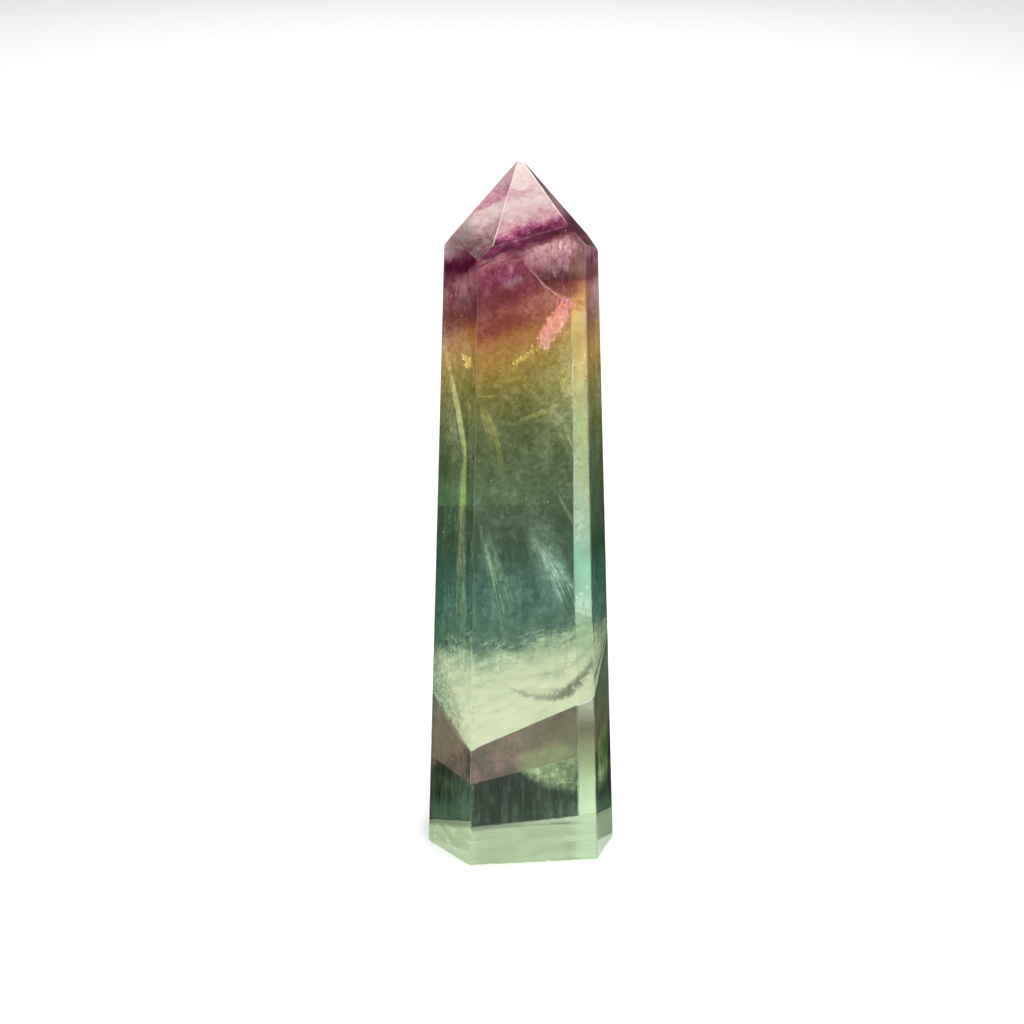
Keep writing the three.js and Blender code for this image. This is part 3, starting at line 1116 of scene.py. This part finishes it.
wisps = [
    # name, strength, haze between the threads, threads across, glow colour, one edge and the
    # other edge in mm
    ("leftWisp", 1.0, 0.65, 5, tone(204, 206, 150),
     [(-9.7, 1.4, 71.0), (-9.3, 0.9, 66.0), (-8.6, -1.6, 60.1), (-8.1, -3.2, 56.2), (-7.7, -4.2, 53.1),
      (-8.1, -3.8, 49.1), (-8.4, -3.8, 44.5), (-8.7, -3.6, 33.5), (-8.7, -4.2, 24.0)],
     [(-9.2, 0.9, 71.2), (-8.6, 0.2, 66.2), (-7.7, -2.6, 60.6), (-7.1, -4.2, 56.8), (-6.9, -5.2, 53.4),
      (-6.9, -5.3, 49.1), (-6.8, -5.2, 44.5), (-6.7, -5.6, 33.5), (-6.5, -6.4, 24.0)]),
    ("sideWisp", 0.6, 0.2, 2, tone(206, 200, 140),
     [(-7.3, -4.4, 63.0), (-7.0, -5.0, 60.0), (-6.8, -5.4, 57.0), (-6.9, -5.2, 53.6)],
     [(-6.9, -4.8, 63.2), (-6.6, -5.4, 60.1), (-6.5, -5.7, 57.0), (-6.7, -5.4, 53.8)]),
    ("cornerWisp", 0.8, 0.4, 3, tone(206, 196, 130),
     [(-6.6, -6.7, 61.4), (-6.3, -6.75, 59.0), (-5.9, -6.8, 57.0), (-5.3, -6.9, 54.4), (-4.8, -6.9, 51.0)],
     [(-5.9, -6.6, 61.5), (-4.8, -6.7, 59.2), (-3.9, -6.8, 57.0), (-3.2, -6.9, 53.9), (-2.6, -6.9, 49.0)]),
    ("sideVeil", 0.9, 0.9, 2, tone(190, 214, 156),
     [(7.5, -7.6, 8.0), (8.6, -5.0, 7.4), (9.9, -2.2, 7.8), (10.8, -0.2, 8.2)],
     [(7.5, -7.4, 16.2), (8.6, -4.8, 16.6), (9.8, -2.0, 17.2), (10.7, 0.0, 17.6)]),
    ("frontWisp", 0.85, 0.15, 5, tone(196, 220, 184),
     [(-6.65, -6.6, 48.4), (-6.4, -6.7, 43.3), (-5.8, -6.8, 40.0), (-5.3, -6.9, 36.7), (-4.9, -7.0, 27.5)],
     [(-6.5, -6.6, 48.4), (-5.8, -6.7, 43.3), (-4.7, -6.8, 40.0), (-3.5, -6.9, 36.6), (-1.0, -7.0, 28.4)]),
    ("innerWisp", 0.5, 0.3, 4, tone(186, 214, 180),
     [(-6.5, -4.2, 46.0), (-5.6, -4.4, 41.0), (-4.6, -4.6, 37.0), (-3.4, -4.8, 31.0)],
     [(-5.5, -4.0, 46.0), (-3.9, -4.2, 41.0), (-2.4, -4.4, 37.0), (-0.4, -4.6, 31.0)]),
    ("fanWisp", 0.95, 0.15, 7, tone(216, 236, 220),
     [(-0.5, -6.2, 43.9), (0.4, -6.3, 40.9), (1.3, -6.4, 38.3), (2.6, -6.5, 34.7), (5.2, -6.5, 27.6)],
     [(0.5, -6.2, 44.6), (2.5, -6.3, 41.6), (4.5, -6.4, 38.7), (6.0, -6.45, 36.6), (7.4, -6.5, 33.0)]),
    ("hazeWisp", 0.4, 0.6, 3, tone(196, 222, 206),
     [(-1.6, -5.0, 46.0), (-0.6, -5.1, 40.9), (0.6, -5.2, 36.3), (2.4, -5.3, 30.7)],
     [(2.2, -5.0, 46.6), (4.5, -5.1, 41.6), (6.0, -5.2, 37.7), (7.2, -5.3, 33.6)]),
    ("thinWisp", 0.8, 0.2, 2, tone(200, 214, 170),
     [(2.7, -7.05, 49.7), (3.7, -7.1, 47.5), (5.5, -7.2, 44.3), (6.6, -7.2, 42.0)],
     [(3.0, -7.05, 49.8), (4.2, -7.1, 47.8), (5.9, -7.2, 45.0), (7.1, -7.2, 43.2)]),
    ("upperWisp", 0.5, 0.5, 4, tone(204, 206, 160),
     [(1.6, -6.8, 59.6), (2.9, -6.85, 56.9), (4.2, -6.9, 54.2), (5.4, -7.0, 51.6)],
     [(3.2, -6.8, 60.2), (4.9, -6.85, 57.9), (6.0, -6.9, 55.6), (7.0, -7.0, 53.0)]),
    ("slantWisp", 0.75, 0.5, 2, tone(204, 202, 130),
     [(-3.1, -6.85, 56.8), (-0.6, -6.8, 57.9), (1.4, -6.8, 58.5), (3.3, -6.75, 59.3), (6.2, -6.7, 60.9)],
     [(-2.6, -6.8, 57.6), (-0.5, -6.8, 58.7), (1.4, -6.8, 59.4), (3.3, -6.7, 60.2), (6.2, -6.7, 61.8)]),
    ("shortLine", 0.7, 0.6, 1, tone(214, 186, 140),
     [(-6.9, -7.6, 61.35), (-5.6, -7.6, 61.3), (-4.2, -7.6, 61.3)],
     [(-6.9, -7.6, 61.75), (-5.6, -7.6, 61.7), (-4.2, -7.6, 61.6)]),
    ("oliveWisp", 0.5, 0.3, 4, tone(206, 184, 120),
     [(-4.8, -6.3, 66.5), (-3.4, -6.3, 64.0), (-1.6, -6.3, 61.5), (1.0, -6.3, 59.5)],
     [(-3.0, -6.2, 67.0), (-1.2, -6.2, 64.6), (1.0, -6.2, 62.4), (3.4, -6.2, 60.8)]),
    ("goldenWisp", 0.55, 0.3, 4, tone(216, 204, 130),
     [(2.4, -6.3, 65.5), (3.4, -6.3, 62.5), (4.8, -6.3, 59.6), (6.4, -6.3, 57.0)],
     [(4.2, -6.2, 65.9), (5.5, -6.2, 63.4), (6.6, -6.2, 61.0), (7.2, -6.2, 59.0)]),
    ("footVeil", 0.68, 1.0, 2, tone(184, 208, 156),
     [(-3.3, -8.1, 13.0), (-1.1, -8.1, 11.4), (1.0, -8.15, 9.7), (3.3, -8.2, 8.7), (5.7, -8.2, 7.8),
      (8.2, -7.9, 6.6)],
     [(-2.6, -8.0, 13.8), (-1.0, -8.0, 14.9), (1.3, -8.0, 15.9), (3.9, -7.9, 16.5), (6.2, -7.9, 16.8),
      (8.4, -7.6, 17.0)]),
    ("arcLine", 0.5, 0.4, 1, tone(236, 206, 196),
     [(-2.0, -7.2, 80.2), (0.0, -7.2, 77.6), (2.5, -7.3, 74.9), (5.3, -7.35, 72.9)],
     [(-1.7, -7.2, 80.4), (0.3, -7.2, 77.8), (2.8, -7.3, 75.2), (5.5, -7.35, 73.3)]),
]


def wispFinish(name, strength, haze, threadCount, glow):
    # tapering threads along the sheet over a soft haze, fading out at its ends and sides
    finish = Finish(name)
    spread = finish.node("ShaderNodeUVMap", {"uv_map": "spread"})
    u, v, _ = finish.axes(spread)
    threads = finish.noise(finish.stretched(spread, (0, 0, 0.03), (1.3, threadCount * 2.4, 1)), 1.0, 4, 0.6)
    starts = finish.noise(finish.stretched(spread, (0, 0, 0), (0.01, threadCount * 4, 1)), 1.0, 2) - 0.3
    specks = finish.noise(finish.place(), 1.2, 6, 0.7)
    ends = (u - starts * 0.4).step(0, 0.2) * (1 - (u + starts * 0.5).step(0.85, 1.2))
    sides = v.step(0.0, 0.3) * (1 - v.step(0.7, 1.0))
    taper = (u * 2 - 1) ** 2 * 0.16
    fine = (threads - taper).step(0.42, 0.55)
    soft = u.step(0.0, 0.3) * (1 - u.step(0.6, 1.0)) * haze
    patchy = specks.step(0.3, 0.7) * (1 - haze * 0.6) + haze * 0.6
    alpha = (fine * ends).most(soft) * sides * (0.3 + patchy * 0.7) * strength
    shader = finish.node("ShaderNodeBsdfPrincipled", None, {
        "Base Color": rgba(glow),
        "Roughness": 0.5,
        "Alpha": alpha,
        "Emission Color": rgba(glow),
        "Emission Strength": 1.0,
    })
    return finish.finish(shader)


for name, strength, haze, threadCount, glow, first, second in wisps:
    points, spread = ruledSheet(first, second, wispLook)
    makeFlaw(name, points, wispFinish(name, strength, haze, threadCount, glow), spread)
print("wisps made")


flakeLook = {"rows": 60, "columns": 24, "ripple": 0.12}

flakes = [
    # name, threshold, grain per mm, colour and painted highlight colour, one edge and the other edge in mm;
    # their brightness is a painted reflection off small splits
    ("pinkFlake", 0.34, 1.2, tone(226, 178, 226), tone(250, 220, 240),
     [(3.7, -7.1, 74.2), (2.7, -7.1, 71.9), (1.2, -7.15, 69.6), (0.2, -7.2, 67.6)],
     [(6.6, -6.9, 73.6), (5.2, -6.95, 70.9), (3.6, -7.0, 68.6), (2.2, -7.1, 66.3)]),
    ("goldFlake", 0.5, 1.6, tone(196, 172, 128), tone(252, 236, 206),
     [(-8.2, -3.4, 66.6), (-7.9, -3.9, 65.4), (-7.6, -4.6, 64.4)],
     [(-6.6, -6.6, 66.4), (-6.5, -6.8, 65.4), (-6.5, -6.9, 64.2)]),
    ("goldLine", 0.5, 1.4, tone(180, 160, 110), tone(248, 230, 180),
     [(-3.3, -7.1, 65.2), (-1.6, -7.1, 66.2), (0.4, -7.0, 67.6), (1.2, -7.0, 68.0)],
     [(-2.9, -7.0, 64.4), (-1.2, -7.0, 65.4), (0.8, -6.9, 66.6), (1.6, -6.9, 67.2)]),
]


def flakeFinish(name, threshold, grain, colour, bright):
    # a ragged outline cut by noise, glowing, with painted highlights of crystal faces here and there
    finish = Finish(name)
    spread = finish.node("ShaderNodeUVMap", {"uv_map": "spread"})
    u, v, _ = finish.axes(spread)
    place = finish.place()
    ragged = finish.noise(place, grain, 5, 0.7)
    fine = finish.noise(finish.stretched(place, (0.5, 0.9, 0.3), (1, 1, 0.5)), grain * 2.2, 4, 0.6)
    middle = (u * (1 - u) * 4).least(1) * (v * (1 - v) * 4).least(1)
    outline = middle * 0.7 + (ragged - 0.5) * 1.9 + (fine - 0.5) * 0.8
    surface = finish.between(fine.step(0.5, 0.68), (colour, bright))
    relief = {"Strength": 0.5, "Distance": 0.2 * mm, "Height": fine}
    shader = finish.node("ShaderNodeBsdfPrincipled", None, {
        "Base Color": surface,
        "Roughness": 0.35,
        "Alpha": outline.step(threshold - 0.2, threshold - 0.06),
        "Emission Color": surface,
        "Emission Strength": 1.3,
        "Normal": finish.node("ShaderNodeBump", None, relief),
    })
    return finish.finish(shader)


for name, threshold, grain, colour, bright, first, second in flakes:
    points, spread = ruledSheet(first, second, flakeLook)
    makeFlaw(name, points, flakeFinish(name, threshold, grain, colour, bright), spread)
print("flakes made")


glitter = {
    "rows": 80,
    "columns": 60,
    "ripple": 0.25,
    "lower": [(-1.9, -7.1, 80.2), (0.1, -7.1, 77.7), (2.6, -7.2, 75.0), (5.4, -7.25, 73.1),
              (7.4, -7.0, 71.4)],
    "upper": [(-1.2, -7.0, 80.9), (1.6, -6.9, 82.0), (4.2, -6.9, 82.2), (6.2, -6.9, 81.6),
              (7.6, -6.7, 79.0)],
    "veil": (tone(136, 40, 72), tone(240, 228, 222)),
    "pit": tone(96, 34, 52),
    "glint": tone(255, 246, 240),
}


def glitterFinish():
    # a whitish glowing veil with painted upright glints, light and dark, redder towards its lower edge
    finish = Finish("glitterVeil")
    spread = finish.node("ShaderNodeUVMap", {"uv_map": "spread"})
    u, v, _ = finish.axes(spread)
    place = finish.place()
    x, _, z = finish.axes(place)
    upright = finish.noise(finish.stretched(place, (0, 0.1, 0), (1.5, 1.5, 0.42)), 1.5, 6, 0.75)
    cloud = finish.noise(place, 0.5, 7, 0.7)
    patch = x.step(1.0, 3.6) * (1 - x.step(6.6, 7.6)) * (1 - z.step(80.6, 82.2))
    glints = upright.step(0.54, 0.62) * patch
    pits = (1 - upright.step(0.4, 0.46)) * patch
    tall = (z + (cloud - 0.5) * 4).step(77.0, 80.4)
    colour = finish.between(tall, glitter["veil"])
    colour = finish.blend(pits * 0.9, colour, rgba(glitter["pit"]))
    colour = finish.blend(glints, colour, rgba(glitter["glint"]))
    veil = 0.25 + cloud.step(0.35, 0.65) * 0.5 + (1 - z.step(76, 78.5)) * 0.15
    alpha = veil.most(glints * (0.45 + tall * 0.5)).most(pits * 0.8) * z.step(73.2, 74.8)
    ends = u.step(0.0, 0.2) * (1 - u.step(0.66, 0.95))
    alpha = alpha * v.step(0.0, 0.05) * (1 - v.step(0.8, 1.0)) * ends
    shader = finish.node("ShaderNodeBsdfPrincipled", None, {
        "Base Color": colour,
        "Roughness": 0.4,
        "Alpha": alpha,
        "Emission Color": colour,
        "Emission Strength": 0.9,
    })
    return finish.finish(shader)


points, spread = ruledSheet(glitter["lower"], glitter["upper"], glitter)
makeFlaw("glitterVeil", points, glitterFinish(), spread)
print("glitter made")


violet = {
    "normal": (-0.28, 0.394, 0.875),
    "reach": 68.3,              # mm from the origin
    "rows": 60,
    "columns": 90,
    "depth": 15.0,
    "inset": 0.15,
    "ripple": 0.35,
    "clouds": (tone(70, 10, 40), tone(196, 76, 146)),
    "far": tone(150, 82, 92),   # towards the back
}


def violetSheet():
    # the purple zone's own plane, swollen along its normal by low sines
    points = acrossStone(violet)
    x, y = points[..., 0], points[..., 1]
    swell = np.sin(x * 0.9 + y * 0.5) + np.sin(y * 1.3 - x * 0.4 + 1.0) * 0.6
    return points + (violet["ripple"] * swell)[..., None] * np.array(violet["normal"])


def violetFinish():
    # flame-like magenta clouds, thinning out away from the front
    finish = Finish("violetZone")
    place = finish.place()
    y = finish.axes(place)[1]
    cloud = finish.noise(place, 0.5, 8, 0.7)
    fine = finish.noise(place, 1.6, 6, 0.7)
    colour = finish.between(fine.step(0.43, 0.57), violet["clouds"])
    colour = finish.blend(y.step(-6, 0), colour, rgba(violet["far"]))
    alpha = cloud.step(0.36, 0.62) * (1 - y.step(-5.5, 4.0)) * 0.75
    shader = finish.node("ShaderNodeBsdfPrincipled", None, {
        "Base Color": colour,
        "Roughness": 0.5,
        "Alpha": alpha,
        "Emission Color": colour,
        "Emission Strength": 0.45,
    })
    return finish.finish(shader)


makeFlaw("violetZone", violetSheet(), violetFinish())
print("purple zone made")


needles = {
    "seed": 19,
    "lean": -0.12,              # mm to the left per mm up, and how much that varies
    "sway": 0.09,
    "tipWidth": 0.008,
    "colour": tone(180, 214, 190),
    "groups": [
        # how many, lowest and highest corner in mm, length from and to, width
        (46, (-10.5, -7.5, 25.0), (-6.5, -1.5, 39.0), 1.5, 5.0, 0.035),
        (40, (-6.5, -7.5, 30.0), (6.0, -4.0, 47.0), 1.0, 4.0, 0.035),
        (46, (-10.5, -8.0, 4.0), (-6.5, -2.5, 11.0), 1.0, 3.6, 0.035),
        (40, (-7.0, -8.8, 3.4), (6.5, -6.0, 9.5), 1.0, 3.4, 0.035),
    ],
}


def needleSheets():
    # each needle is a strip from a foot to a head, foot + length * lean, widest in its middle;
    # all of a group are drawn at once as arrays
    draw = np.random.default_rng(needles["seed"])
    strips = []
    for count, low, high, shortest, longest, width in needles["groups"]:
        foot = draw.uniform(low, high, (count, 3))
        lean = draw.normal(0, needles["sway"], (count, 3)) * [1, 1, 0] + [needles["lean"], 0, 1]
        head = foot + lean * draw.uniform(shortest, longest, (count, 1))
        half = np.array([width / 2, 0, 0])
        middle = (foot + head) / 2
        strips.append(np.stack([foot, foot, middle - half, middle + half, head, head], axis=1))
    strips = np.concatenate(strips)
    strips[:, [1, 5]] += [needles["tipWidth"], 0, 0]
    start = np.arange(len(strips))[:, None] * 6
    faces = np.concatenate([start + [0, 1, 3, 2], start + [2, 3, 5, 4]])
    return strips, faces


def needleFinish():
    finish = Finish("needles")
    fine = finish.noise(finish.place(), 0.8, 3, 0.6)
    shader = finish.node("ShaderNodeBsdfPrincipled", None, {
        "Base Color": rgba(needles["colour"]),
        "Roughness": 0.4,
        "Alpha": fine.step(0.35, 0.65) * 0.4,
        "Emission Color": rgba(needles["colour"]),
        "Emission Strength": 0.6,
    })
    return finish.finish(shader)


strips, stripFaces = needleSheets()
makeFlaw("needles", strips, needleFinish(), faces=stripFaces)
print("needles made")
